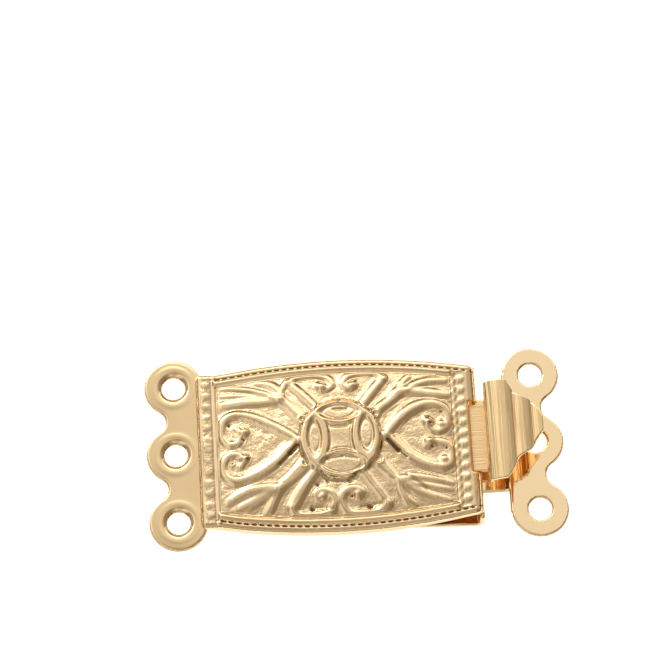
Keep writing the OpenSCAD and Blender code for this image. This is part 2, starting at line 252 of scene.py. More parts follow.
# ---- outlines: distance outside a shape, negative inside ----------------------------------

def from_segment(x, y, start, end):
    """Distance to the segment from start to end, and the nearest point's share of the way along it."""
    (ax, ay), (bx, by) = start, end
    ex, ey = bx - ax, by - ay
    t = np.clip(((x - ax) * ex + (y - ay) * ey) / max(ex * ex + ey * ey, 1e-12), 0, 1)
    return np.hypot(x - ax - t * ex, y - ay - t * ey), t


def box_outline(u, v, u0, u1, half):
    """Distance outside a rectangle from u0 to u1 and of that half width."""
    du, dv = np.maximum(u0 - u, u - u1), np.abs(v) - half
    return np.minimum(np.maximum(du, dv), 0) + np.hypot(np.maximum(du, 0), np.maximum(dv, 0))


def polygon_outline(u, v, corners):
    """Distance outside a polygon: the least distance to its sides, negative where a ray crosses an odd
    number of them."""
    least = np.full(u.shape, 1e9)
    inside = np.zeros(u.shape, bool)
    for (ax, ay), (bx, by) in zip(corners, np.roll(corners, -1, 0)):
        least = np.minimum(least, from_segment(u, v, (ax, ay), (bx, by))[0])
        crosses = (ay > v) != (by > v)
        rise = by - ay if abs(by - ay) > 1e-12 else 1e-12
        inside ^= crosses & (u < ax + (v - ay) * (bx - ax) / rise)
    return np.where(inside, -least, least)


def nearest_ring(y):
    """The y of the nearest of the three holes' centres."""
    return np.clip(np.round(y / PITCH), -1, 1) * PITCH


def ring_outline(run, y, ring, web_start, web_half):
    """Distance outside three rings in a row. run is the distance from the hole centres towards the free
    side. Between two rings a hollow arc of the radius valley_r touches both; behind the centres a web
    joins them."""
    half = PITCH / 2
    r, reach = ring["r"], ring["reach"]
    valley_r = (half**2 + reach**2 - r**2) / (2 * (r - reach))
    valley_x = reach + valley_r
    beside = np.abs(y - nearest_ring(y))
    circle = np.hypot(run, beside) - r
    valley = valley_r - np.hypot(run - valley_x, beside - half)
    in_valley = (beside * valley_x > run * half) & (np.abs(y) < PITCH) & (run > 0)
    web = box_outline(run, y, web_start, reach, web_half)
    solid = np.where(in_valley, valley, np.minimum(circle, web))
    return np.maximum(solid, ring["hole"] - np.hypot(run, beside))


# ---- relief -------------------------------------------------------------------------------

def on_curve(rows, steps=6):
    """Rows [x, y, half width, height] joined by a smooth curve through them (Catmull-Rom)."""
    p = np.array(rows, float)
    p = np.vstack([p[:1], p, p[-1:]])
    t = np.linspace(0, 1, steps, endpoint=False)[:, None]
    parts = [
        b + t * ((c - a) / 2 + t * (a - 2.5 * b + 2 * c - d / 2 + t * (1.5 * (b - c) + (d - a) / 2)))
        for a, b, c, d in zip(p[:-3], p[1:-2], p[2:-1], p[3:])
    ]
    return np.vstack(parts + [p[-1:]])


def ease(x):
    """Smooth step from 0 at x = 0 to 1 at x = 1."""
    x = np.clip(x, 0, 1)
    return x * x * (3 - 2 * x)


def mound(share, power=1.0):
    """Rounded mound: 1 - share, not below 0, to that power."""
    return np.clip(1 - share, 0, 1) ** power


def bell(x, width):
    """Bell curve: 1 at x = 0, and down to a third at x = width."""
    return np.exp(-((x / width) ** 2))


def soft_max(a, b, power):
    """Greater of two heights with a fillet between them: the root of the sum of their powers."""
    return (a**power + b**power) ** (1 / power)


# The ornament's strokes in millimetres on the face: rows of [x, y, half width, height]
STROKES = [
    # Arms of the left heart
    [
        [-3.1, 0.32, 0.26, 0.24], [-3.9, 0.85, 0.3, 0.24], [-4.75, 1.38, 0.3, 0.24],
        [-5.93, 1.98, 0.28, 0.24], [-6.95, 2.15, 0.26, 0.23], [-7.6, 1.72, 0.25, 0.22],
        [-7.76, 0.95, 0.24, 0.21], [-7.4, 0.3, 0.24, 0.2], [-6.8, 0.3, 0.24, 0.2], [-6.5, 0.8, 0.22, 0.2],
        [-6.75, 1.2, 0.2, 0.18],
    ],
    [
        [-3.1, 0.28, 0.26, 0.24], [-3.8, -0.4, 0.3, 0.24], [-4.5, -1.05, 0.3, 0.24],
        [-5.66, -1.75, 0.3, 0.24], [-6.74, -2.1, 0.3, 0.23], [-7.5, -1.85, 0.26, 0.22],
        [-7.75, -1.2, 0.24, 0.21], [-7.45, -0.55, 0.24, 0.2], [-6.85, -0.42, 0.24, 0.2],
        [-6.45, -0.8, 0.22, 0.2], [-6.65, -1.2, 0.2, 0.18],
    ],
    # Arms of the right heart
    [
        [2.3, 0.38, 0.26, 0.24], [3.1, 1.3, 0.3, 0.25], [4.1, 2.05, 0.32, 0.25], [5.1, 2.32, 0.28, 0.24],
        [5.9, 2.05, 0.25, 0.22], [6.2, 1.35, 0.24, 0.21], [5.95, 0.68, 0.24, 0.2], [5.35, 0.5, 0.25, 0.2],
        [4.95, 0.95, 0.25, 0.2], [4.85, 1.25, 0.28, 0.2],
    ],
    [
        [2.3, 0.34, 0.26, 0.24], [3.05, -0.5, 0.3, 0.25], [3.95, -1.25, 0.32, 0.25], [5.1, -1.75, 0.3, 0.24],
        [6.0, -1.7, 0.27, 0.22], [6.33, -1.05, 0.24, 0.21], [6.05, -0.4, 0.24, 0.2], [5.45, -0.2, 0.25, 0.2],
        [4.95, -0.3, 0.28, 0.2], [4.8, -0.4, 0.28, 0.2],
    ],
    # Fine lines inside the arms: two on the left, then two on the right
    [[-3.85, 0.42, 0.08, 0.1], [-4.7, 0.98, 0.1, 0.12], [-5.7, 1.5, 0.1, 0.12], [-6.5, 1.72, 0.08, 0.1]],
    [[-3.85, 0.15, 0.08, 0.1], [-4.5, -0.5, 0.1, 0.12], [-5.5, -1.25, 0.1, 0.12], [-6.4, -1.65, 0.08, 0.1]],
    [[2.95, 0.45, 0.08, 0.1], [3.6, 1.2, 0.1, 0.12], [4.4, 1.78, 0.1, 0.12], [5.1, 1.95, 0.08, 0.1]],
    [[2.95, 0.2, 0.08, 0.1], [3.55, -0.42, 0.1, 0.12], [4.4, -1.05, 0.1, 0.12], [5.3, -1.38, 0.08, 0.1]],
    # Spray at the upper left: its stem, three blades, a leaf and a twig
    [[-2.55, 1.45, 0.4, 0.24], [-2.95, 1.85, 0.38, 0.22], [-3.55, 2.5, 0.32, 0.2], [-4.05, 3.0, 0.3, 0.22]],
    [[-4.0, 3.0, 0.3, 0.22], [-5.1, 2.93, 0.3, 0.22], [-6.3, 2.93, 0.32, 0.2], [-7.7, 2.75, 0.3, 0.1]],
    [[-4.05, 3.05, 0.24, 0.22], [-5.0, 3.45, 0.22, 0.2], [-6.2, 3.82, 0.2, 0.18], [-7.6, 3.95, 0.2, 0.1]],
    [[-4.1, 3.1, 0.18, 0.18], [-5.4, 3.3, 0.16, 0.15], [-6.6, 3.42, 0.16, 0.14], [-7.7, 3.4, 0.18, 0.1]],
    [[-4.05, 3.2, 0.28, 0.2], [-4.3, 3.75, 0.3, 0.22], [-4.8, 4.1, 0.28, 0.2], [-5.5, 4.2, 0.24, 0.12]],
    [[-4.0, 3.1, 0.24, 0.2], [-3.95, 3.6, 0.22, 0.19], [-3.6, 4.15, 0.22, 0.2]],
    # Spray at the lower left: its stem, two blades and a leaf
    [[-2.55, -1.2, 0.42, 0.24], [-3.0, -1.6, 0.38, 0.22], [-3.7, -2.2, 0.32, 0.2], [-4.4, -2.7, 0.32, 0.22]],
    [
        [-4.35, -2.7, 0.32, 0.22], [-5.3, -2.68, 0.32, 0.24], [-6.3, -2.85, 0.34, 0.24],
        [-7.4, -3.4, 0.32, 0.14],
    ],
    [[-4.5, -2.8, 0.3, 0.22], [-5.5, -3.25, 0.32, 0.24], [-6.5, -3.75, 0.34, 0.22], [-7.2, -4.0, 0.3, 0.12]],
    [[-4.4, -2.8, 0.3, 0.22], [-4.7, -3.4, 0.27, 0.24], [-5.0, -4.0, 0.28, 0.22], [-5.3, -4.35, 0.24, 0.12]],
    # Spray at the upper right: its stem, two blades and a leaf
    [
        [1.6, 1.65, 0.38, 0.24], [1.95, 2.05, 0.3, 0.22], [2.6, 2.55, 0.3, 0.22], [3.25, 3.1, 0.34, 0.24],
        [3.7, 3.25, 0.28, 0.22],
    ],
    [[3.5, 3.2, 0.3, 0.24], [4.7, 3.08, 0.3, 0.22], [5.6, 2.92, 0.3, 0.2], [6.3, 2.8, 0.26, 0.12]],
    [[3.7, 3.3, 0.26, 0.22], [4.3, 3.6, 0.26, 0.24], [5.1, 3.8, 0.26, 0.24], [6.1, 3.78, 0.24, 0.14]],
    [[3.3, 3.15, 0.28, 0.22], [3.45, 3.65, 0.24, 0.22], [3.85, 4.1, 0.24, 0.18]],
    # Spray at the lower right: its stem, three blades and a leaf
    [[1.6, -1.15, 0.42, 0.24], [2.1, -1.75, 0.34, 0.22], [2.6, -2.3, 0.3, 0.22], [3.05, -2.62, 0.3, 0.22]],
    [[3.0, -2.55, 0.28, 0.22], [3.9, -2.42, 0.26, 0.24], [5.0, -2.6, 0.24, 0.22], [6.15, -2.9, 0.2, 0.12]],
    [[3.3, -2.75, 0.24, 0.2], [4.3, -2.9, 0.22, 0.22], [5.3, -3.15, 0.22, 0.2], [6.1, -3.3, 0.2, 0.12]],
    [[3.1, -2.75, 0.26, 0.2], [4.0, -3.25, 0.28, 0.24], [5.0, -3.7, 0.26, 0.22], [5.95, -4.0, 0.22, 0.12]],
    [[2.95, -2.7, 0.28, 0.22], [3.05, -3.3, 0.25, 0.24], [3.35, -3.85, 0.26, 0.24], [3.85, -4.2, 0.22, 0.14]],
    # Bar and scroll: upper left, upper right, lower left and lower right
    [[-1.9, 2.3, 0.28, 0.24], [-2.8, 3.35, 0.28, 0.24], [-3.5, 4.1, 0.26, 0.22]],
    [
        [-3.55, 4.12, 0.24, 0.22], [-2.9, 4.5, 0.22, 0.22], [-1.9, 4.55, 0.22, 0.22], [-1.1, 4.3, 0.24, 0.22],
        [-0.85, 3.8, 0.24, 0.2], [-1.3, 3.55, 0.26, 0.2], [-1.6, 3.8, 0.3, 0.22],
    ],
    [[1.0, 2.45, 0.28, 0.24], [1.75, 3.4, 0.28, 0.24], [2.35, 4.1, 0.26, 0.22]],
    [
        [2.38, 4.12, 0.24, 0.22], [1.8, 4.5, 0.22, 0.22], [0.9, 4.55, 0.22, 0.22], [0.15, 4.35, 0.24, 0.22],
        [-0.15, 3.85, 0.24, 0.2], [0.2, 3.55, 0.26, 0.2], [0.5, 3.8, 0.3, 0.22],
    ],
    [
        [-1.95, -1.6, 0.28, 0.24], [-2.45, -2.2, 0.28, 0.24], [-3.0, -2.95, 0.32, 0.26],
        [-3.6, -3.95, 0.32, 0.26],
    ],
    [
        [-3.6, -4.0, 0.3, 0.26], [-3.35, -4.42, 0.26, 0.24], [-2.5, -4.6, 0.26, 0.24],
        [-1.5, -4.42, 0.26, 0.24], [-1.03, -3.85, 0.26, 0.24], [-1.15, -3.25, 0.25, 0.22],
        [-1.7, -3.0, 0.24, 0.2], [-2.15, -3.2, 0.22, 0.2], [-2.05, -3.5, 0.22, 0.2],
    ],
    [[0.65, -1.7, 0.28, 0.24], [1.1, -2.4, 0.28, 0.24], [1.6, -3.15, 0.28, 0.26], [2.15, -4.0, 0.28, 0.26]],
    [
        [2.15, -4.05, 0.28, 0.26], [1.63, -4.5, 0.26, 0.24], [0.64, -4.6, 0.26, 0.24],
        [-0.25, -4.42, 0.26, 0.24], [-0.62, -3.75, 0.26, 0.24], [-0.4, -3.15, 0.25, 0.22],
        [0.2, -2.95, 0.24, 0.22], [0.62, -3.2, 0.22, 0.2], [0.4, -3.5, 0.24, 0.2],
    ],
]

# Small round bumps in the hearts: rows of [x, y, radius, height]
BUMPS = [
    [-6.35, 1.0, 0.42, 0.26], [-6.34, -0.68, 0.36, 0.24], [-7.14, -1.01, 0.3, 0.12], [-6.78, 0.8, 0.3, 0.12],
    [-5.3, 0.55, 0.3, 0.04], [-5.0, 0.0, 0.3, 0.04], [-5.35, -0.5, 0.3, 0.04], [-4.6, 0.5, 0.3, 0.03],
    [4.94, 1.07, 0.42, 0.28], [5.75, 0.92, 0.36, 0.2], [4.96, -0.17, 0.42, 0.28], [5.8, -1.35, 0.38, 0.2],
    [4.03, 1.18, 0.28, 0.08], [3.84, -0.22, 0.3, 0.08], [3.67, 0.28, 0.28, 0.07], [4.3, 0.5, 0.26, 0.05],
    [-1.45, 3.72, 0.4, 0.26], [0.4, 3.72, 0.4, 0.26], [-1.8, -3.35, 0.34, 0.22], [0.38, -3.3, 0.34, 0.22],
]

# Share by which a stroke is wider than its row says, how flat its crown is, how softly its foot runs out
STROKE_FULL, STROKE_CROWN, STROKE_FOOT = 1.95, 2.2, 1.9
# Share of its height that every stroke keeps, because the stamping is worn soft
STROKE_RISE = 0.8
# The same for the bumps: share of the radius, and how softly they run out
BUMP_FULL, BUMP_FOOT = 1.25, 1.6
# Share of the rows' heights that the finished ornament has
ORNAMENT_RISE = 1.12
# Boss: its centre, radius and height, and the run of its side. Where it lies more than BOSS_EDGE inside its
# outline, the strokes end over BOSS_JOIN.
BOSS = [-0.5, 0.24]
BOSS_R, BOSS_H, BOSS_RUN = 2.78, 0.35, 0.5
BOSS_EDGE, BOSS_JOIN = 0.3, 0.25
# How deep its lenses and its core are sunk, and over which distance their sides rise
BOSS_SINK, SINK_RUN = 0.15, 0.2
# The lenses, [x, y, half length, half width, lies along y], and the power of their ovals
LENSES = [
    [-0.5, 1.93, 0.98, 0.43, False],
    [-0.4, -1.4, 1.14, 0.58, False],
    [-2.06, 0.34, 0.92, 0.33, True],
    [1.12, 0.45, 0.9, 0.36, True],
]
LENS_POWER = 1.75
# The core, [x, y, half length, half width], and how hollow its sides are
CORE = [-0.47, 0.29, 0.72, 0.84]
CORE_HOLLOW = 0.17
# Small pits by the scrolls' ends, sunk and painted with shade: rows of [x, y, radius, depth]
PITS = [
    [-6.4, 0.5, 0.12, 0.1], [-7.25, 1.5, 0.12, 0.08], [-6.15, -0.75, 0.11, 0.09], [-7.15, -0.95, 0.11, 0.08],
    [-2.0, -2.62, 0.12, 0.1], [-2.4, -4.12, 0.17, 0.12], [1.1, -4.12, 0.19, 0.12], [0.05, -3.42, 0.11, 0.1],
    [5.05, 0.98, 0.1, 0.08], [5.75, 1.75, 0.1, 0.08], [5.1, -0.52, 0.1, 0.08], [5.95, -0.62, 0.1, 0.08],
    [-0.45, 2.62, 0.1, 0.05],
]
# Creases at the feet of steep sides, sunk and painted with shade: rows of [x0, y0, x1, y1, half width, share
# of depth and of painted shade]
CREASES = [
    [-3.62, -0.58, -3.12, -0.04, 0.15, 1.2], [-4.3, -1.26, -3.62, -0.6, 0.1, 0.9],
    [2.42, 0.02, 3.0, -0.7, 0.2, 1.2], [3.0, -0.72, 3.5, -1.14, 0.1, 0.9],
    [-1.95, -1.72, -1.36, -2.38, 0.16, 0.6], [-1.36, -2.38, -0.05, -2.44, 0.16, 0.5],
    [-0.05, -2.44, 0.9, -1.6, 0.16, 0.6], [-0.82, 2.14, 0.0, 2.12, 0.12, 0.6],
    [-1.0, 0.99, 0.0, 0.97, 0.1, 0.45], [-1.35, -1.1, -0.4, -0.95, 0.1, 0.5],
    [-0.4, -0.95, 0.5, -1.12, 0.1, 0.5], [-2.4, -3.95, -1.2, -4.15, 0.16, 0.4],
    [0.6, -4.15, 1.9, -3.85, 0.16, 0.4], [3.4, -2.2, 4.6, -3.2, 0.14, 0.4],
]
CREASE_DEPTH = 0.09
# Dimples at the boss's diagonals: [x, y, radius], then the height and width of their rims, and their depth
DIMPLES = [[-2.73, 1.6, 0.2], [1.72, 1.72, 0.2], [-2.72, -1.22, 0.2], [1.78, -1.2, 0.26]]
DIMPLE_RIM, DIMPLE_RIM_W, DIMPLE_DEPTH = 0.03, 0.09, 0.12

# Panel: its ends, and how far inside the face's long edges it lies. It swells by CUSHION_H.
PANEL_X0, PANEL_X1, PANEL_EDGE = -8.0, 6.5, 0.93
CUSHION_H, CUSHION_ENDS, CUSHION_SIDES = 0.38, 0.6, 0.8
# The panel's ground lies this deep, and what stands lower than GROUND_TOP on it is pebbled
GROUND_DEPTH, GROUND_TOP = 0.03, 0.08
# Border of the long edges, by the distance from the edge: a groove with deeper dashes, then a rib
GROOVE_AT, GROOVE_W, GROOVE_DEPTH = 0.43, 0.05, 0.03
DASH_STEP, DASH_DEPTH = 0.46, 0.1
RIB_AT, RIB_W, RIB_H = 0.7, 0.26, 0.17
# Left end: beads, the half width of their dull band and the painted shade between the beads on it, and its
# ridges [x, half width, height]
BEAD_X, BEAD_STEP, BEAD_R, BEAD_H = -8.58, 0.7, 0.27, 0.1
BAND_HALF, BAND_SHADE = 0.4, 0.22
RIDGES = [[-9.16, 0.12, 0.03], [-8.07, 0.14, 0.08]]
# Right end: rope, dents and pearls
ROPE_X, ROPE_W, ROPE_H = 6.62, 0.17, 0.055
ROPE_STEP, ROPE_SWAY = 0.52, 0.045
DENT_X, DENT_W, DENT_H = 6.83, 0.06, 0.02
PEARL_X, PEARL_STEP, PEARL_R, PEARL_H = 7.06, 0.7, 0.34, 0.06


def barrel_half(x):
    """Half width of the face at x: its long edges bow out as arcs, run level past the panel's left end and
    round off at the face's left corners."""
    arc = np.sqrt(BARREL_R**2 - (x - BARREL_CX) ** 2) - BARREL_R + FACE_MID_HALF
    level = np.where(x < PANEL_X0, np.maximum(arc, FACE_END_HALF), arc)
    return level - CORNER_R * (1 - rounded(x - FACE_X0, CORNER_R))


def stroke_height(x, y, rows):
    """Height of a rounded stroke: h (1 - (d / w)^c)^f at the distance d from its curve, with the half width w
    and the height h of the nearest point."""
    line = on_curve(rows)
    low, high = line[:, :2].min(0) - 0.8, line[:, :2].max(0) + 0.8
    here = (x > low[0]) & (x < high[0]) & (y > low[1]) & (y < high[1])
    px, py = x[here], y[here]
    best = np.zeros(px.shape)
    for a, b in zip(line[:-1], line[1:]):
        d, t = from_segment(px, py, a[:2], b[:2])
        w, h = a[2] + t * (b[2] - a[2]), a[3] + t * (b[3] - a[3])
        best = np.maximum(best, STROKE_RISE * h * mound((d / (w * STROKE_FULL)) ** STROKE_CROWN, STROKE_FOOT))
    height = np.zeros(x.shape)
    height[here] = best
    return height


def lens_outline(x, y, row):
    """Distance, nearly, outside a lens: an oval whose two half axes share one power, a little under the
    ellipse's 2, so that its ends run slightly pointed."""
    cx, cy, length, width, upright = row
    u, v = (y - cy, x - cx) if upright else (x - cx, y - cy)
    oval = (np.abs(u / length) ** LENS_POWER + np.abs(v / width) ** LENS_POWER) ** (1 / LENS_POWER)
    return (oval - 1) * width


def boss_height(x, y):
    """Height of the boss, and 1 on its sunk floors. The boss is round and rises by a smooth step from its
    edge; four lenses and a square with hollow sides are sunk into it by a smooth step over the distance to
    their outlines, which leaves soft webs between them."""
    inside = BOSS_R - np.hypot(x - BOSS[0], y - BOSS[1])
    lenses = np.min([lens_outline(x, y, row) for row in LENSES], 0)
    cx, cy, hx, hy = CORE
    px, py = (x - cx) / hx, (y - cy) / hy
    core = np.maximum(np.abs(px) + CORE_HOLLOW * (1 - py**2), np.abs(py) + CORE_HOLLOW * (1 - px**2))
    outside = np.minimum(lenses, (core - 1.0) * hx)
    dome = BOSS_H * ease(inside / BOSS_RUN)
    sink = BOSS_SINK * (1 - ease(outside / SINK_RUN)) * ease(inside / BOSS_EDGE)
    return dome - sink, ease(-outside / 0.1)


def ornament(x, y):
    """Height of the panel's ornament, how much of a point gets painted shade in a pit or crease, and how much
    is a sunk floor of the boss. Strokes and bumps join with fillets, the boss takes their place, and dimples,
    pits and creases are sunk into them."""
    marks = np.zeros(x.shape)
    for rows in STROKES:
        marks = soft_max(marks, stroke_height(x, y, rows), 4)
    for bx, by, r, h in BUMPS:
        share = ((x - bx) ** 2 + (y - by) ** 2) / (BUMP_FULL * r) ** 2
        marks = soft_max(marks, h * mound(share, BUMP_FOOT), 4)
    boss, floors = boss_height(x, y)
    in_boss = ease((BOSS_R - BOSS_EDGE - np.hypot(x - BOSS[0], y - BOSS[1])) / BOSS_JOIN)
    marks = soft_max(marks * (1 - in_boss), np.maximum(boss, 0), 3)
    for dx, dy, r in DIMPLES:
        away = np.hypot(x - dx, y - dy) - r
        marks = marks + DIMPLE_RIM * bell(away, DIMPLE_RIM_W) - DIMPLE_DEPTH * ease(-away / 0.12)
    pits = np.zeros(x.shape)
    for px, py, r, depth in PITS:
        pit = ease(1.3 - np.hypot(x - px, y - py) / r)
        marks = marks - depth * pit
        pits = np.maximum(pits, pit)
    for x0, y0, x1, y1, w, share in CREASES:
        crease = share * ease(1.2 - from_segment(x, y, (x0, y0), (x1, y1))[0] / w)
        marks = marks - CREASE_DEPTH * crease
        pits = np.maximum(pits, crease)
    return marks, pits, floors * (in_boss > 0)


def bead_row(x, y, at, step, phase, radius, power):
    """Row of round beads along y at x = at, one to each step, as shares of their height."""
    cell = np.mod(y / step + phase, 1) - 0.5
    return mound(((x - at) ** 2 + (cell * step) ** 2) / radius**2, power)


def face_relief(x, y):
    """Height above the flat face, how much of a point is pebbled ground, and how much gets painted shade in
    the slots, pits and creases and between the beads. The height is a cushion with the ornament, a groove
    with dashes and a rib along the long edges, and a row of beads at each end."""
    half = barrel_half(x)
    edge = half - np.abs(y)
    left, right = x - PANEL_X0, PANEL_X1 - x
    inside = np.minimum(np.minimum(left, right), edge - PANEL_EDGE)
    along = np.clip((x - (PANEL_X0 + PANEL_X1) / 2) / ((PANEL_X1 - PANEL_X0) / 2), -1, 1)
    across = np.clip(y / (half - PANEL_EDGE), -1, 1)
    cushion = CUSHION_H * (1 - along**2) ** CUSHION_ENDS * (1 - across**2) ** CUSHION_SIDES
    marks, pits, floors = ornament(x, y)
    marks = marks * ease(inside / 0.16)
    background = 1 - ease(marks / GROUND_TOP)
    height = cushion + marks * ORNAMENT_RISE - GROUND_DEPTH * ease(inside / 0.1)

    # Long edges: a groove with dashes, which are painted with shade, then the rib
    frame_fade = ease(left / 0.2 + 0.6) * ease(right / 0.2 + 0.6)
    groove = bell(edge - GROOVE_AT, GROOVE_W) * ease(left / 0.3 + 1)
    slot = groove * ease(0.9 + 1.4 * np.cos(2 * np.pi * x / DASH_STEP))
    rib = RIB_H * mound(((edge - RIB_AT) / RIB_W) ** 2)
    height = height + frame_fade * rib - GROOVE_DEPTH * groove - DASH_DEPTH * slot

    # Left end: beads on a dull band with painted shade between them, between two fine ridges
    lane = (edge > 0.3) * 1.0
    bead = bead_row(x, y, BEAD_X, BEAD_STEP, 0.5, BEAD_R, 1.5)
    height = height + BEAD_H * bead * lane
    band = ease((BAND_HALF - np.abs(x - BEAD_X)) / 0.2) * lane * (1 - bead)
    for ridge_x, w, h in RIDGES:
        height = height + h * mound(((x - ridge_x) / w) ** 2) * ease(edge / 0.3)

    # Right end: a wavy rope, small dents and a row of pearls
    wave = ROPE_X + ROPE_SWAY * np.sin(2 * np.pi * y / ROPE_STEP)
    rope = ROPE_H * mound(((x - wave) / ROPE_W) ** 2, 1.5)
    pearl = bead_row(x, y, PEARL_X, PEARL_STEP, 0, PEARL_R, 1.8)
    dents = bell(x - DENT_X, DENT_W) * (0.5 + 0.5 * np.cos(2 * np.pi * y / ROPE_STEP))
    height = height + (rope + PEARL_H * pearl - DENT_H * dents) * (edge > 0.45)

    # Painted shade: the dashes, pits and creases, and the band between the beads
    slot = np.maximum(np.maximum(slot, pits), BAND_SHADE * band**2)
    rough = np.maximum(background * (inside > 0.05), band)
    return height, np.maximum(rough, 0.5 * floors), slot


# ---- pieces -------------------------------------------------------------------------------

def build_face():
    """Stamped face: a grid over the barrel outline whose outer rows roll over the long edges into lips, and
    whose right end runs on round the bend to the end wall, with the neck's notch cut out."""
    # Along the clasp: the x and z of the flat, then of the bend, and how far each has turned
    bend = np.linspace(0, FACE_BEND, 12)[1:]
    flat_x = even(FACE_X0, FACE_X1, 0.0655)
    base_x = np.concatenate([flat_x, FACE_X1 + TOP_BEND * np.sin(bend)])
    base_z = np.concatenate([np.full(len(flat_x), BOX_H), BOX_H - TOP_BEND * (1 - np.cos(bend))])
    turn = np.concatenate([np.zeros(len(flat_x)), bend])[:, None]

    # Across it: the share of the flat's half width, from -1 to 1
    rows = np.concatenate([[EDGE_R], even(0.32, 0.9, 0.041), even(0.97, FACE_MID_HALF, 0.073)])
    core = 1 - (rows - EDGE_R) / (FACE_MID_HALF - EDGE_R)
    core = np.concatenate([-core, core[-2::-1]])
    # The two rows nearest to the notch's sides move on to them
    inner_half = barrel_half(np.array([FACE_X1])) - EDGE_R
    sides = np.array([GRIP_SHIFT - NOTCH_HALF, GRIP_SHIFT + NOTCH_HALF]) / inner_half
    nearest = [int(np.argmin(np.abs(core - value))) for value in sides]
    core = np.interp(core, [-1, *core[nearest], 1], [-1, *sides, 1])
    # Past the flat: the turn over the edge, then the share of the way down the lip
    edge_turn, drop = np.linspace(0, math.pi / 2, 6)[1:], np.linspace(0, 1, 5)[1:]
    side = np.concatenate([np.zeros(len(core)), edge_turn, np.full(len(drop), math.pi / 2)])
    down = np.concatenate([np.zeros(len(core) + len(edge_turn)), drop])
    share = np.concatenate([core, np.ones(len(edge_turn) + len(drop))])
    back = slice(None, len(core) - 1, -1)
    side, down = (np.concatenate([part[back], part]) for part in (side, down))
    share = np.concatenate([-share[back], share])

    x = np.repeat(base_x[:, None], len(share), 1)
    z = np.repeat(base_z[:, None], len(share), 1)
    half = barrel_half(np.minimum(x, FACE_X1)) - BEND_IN * (1 - np.cos(turn))
    y = share * (half - EDGE_R) + np.sign(share) * EDGE_R * np.sin(side)
    under = share * (half - EDGE_R) + np.sign(share) * (EDGE_R - SHEET) * np.sin(side)
    shift = END_SHIFT * (1 - ease((x - FACE_X0) / 3))
    ramp = END_DROP * (1 - ease((x - FACE_X0) / 0.3))
    # The lip starts after the left end, gets shallower towards the fold and ends in the bend
    lip = (LIP_H - EDGE_R) * (0.02 + 0.98 * ease((x - FACE_X0 - 0.2) / 1.4))
    lip = lip * (1 - LIP_LOSS * ease((x - 3.6) / 3.2)) * np.clip(1 - turn / 0.9, 0, 1)
    height, background, slot = face_relief(x, np.clip(y, -half, half))
    flat = np.abs(np.cos(side))
    out = height * flat * (turn < 0.01) - EDGE_R * (1 - flat) - down * lip - ramp
    hollow = HOLLOW_H * np.clip(1 - (x / 9.2) ** 2, 0, 1) * np.clip(1 - (y / half) ** 2, 0, 1)
    deep = hollow * flat - SHEET - down * lip - ramp
    ahead, upward = np.sin(turn), np.cos(turn)
    top = np.stack([x + ahead * out, y + shift, z + upward * out], -1)
    bottom = np.stack([x + ahead * deep, under + shift, z + upward * deep], -1)
    in_notch = (share > sides[0] + 1e-6) & (share < sides[1] - 1e-6)
    sheet = skin(top, bottom, ~(in_notch & (turn > 0.15)))
    plain = np.zeros(x.shape)
    # Marks: pebbled ground, and painted shade in the slots, pits and creases
    marks = {"background": both_sides(background, plain), "slot": both_sides(slot, plain)}
    make_piece("face_stamping", sheet, "box", "box_shell", materials["polished"], marks)


def build_fold():
    """End wall, its lower bend and the back plate, which narrows towards its free end: one sheet along one
    path, with the tongue's window and the neck's notch cut through it."""
    inner = SHEET / 2
    wall_x = WALL_X - inner - 0.01
    corners = [[wall_x, BOX_H - TOP_BEND + 0.1], [wall_x, inner], [PLATE_X0, inner]]
    line = bent_line(corners, [LOW_BEND - inner])
    path, run = path_along(line)
    length = run[-1]
    wall = line[:, 0] > WALL_X - 1
    window_from, window_to = np.interp([-WINDOW_TOP, -SHEET - 0.02], -line[wall, 1], run[wall])

    def outline(u, v):
        x = path(u)[0]
        taper = (PLATE_HALF - PLATE_END_HALF) * (WALL_X - x) / (WALL_X - PLATE_X0)
        near = NEAR_OUT * ease((x + 1) / 5)
        plate = box_outline(u, v + near, 0, length, PLATE_HALF - SIDE_IN - taper + near)
        notch = box_outline(u, v - GRIP_SHIFT, -1, window_to, NOTCH_HALF)
        window = box_outline(u, v, window_from, window_to, WINDOW_HALF)
        return np.maximum(plate, -np.minimum(notch, window))

    u_lines = lines(
        even(0, 2, 0.06), even(2, length - 0.2, 0.3), even(length - 0.2, length, 0.05),
        [window_from, window_to],
    )
    v_lines = even(-PLATE_HALF - 2 * NEAR_OUT, PLATE_HALF, 0.07)
    u, v, away = cut_grid(u_lines, v_lines, outline, 0.036)
    sheet = sheet_along(u, v, away, path, SHEET, 0.09)
    make_piece("fold_and_back", sheet, "box", "box_shell", materials["polished"])


def cut_edge_shade(away):
    """Mask of painted shade at the cut edges: it rises from 0 to 1 over the last 0.09 mm before a sheet's
    outline.
    """
    return {"edge": both_sides(ease(1 + away / 0.09))}


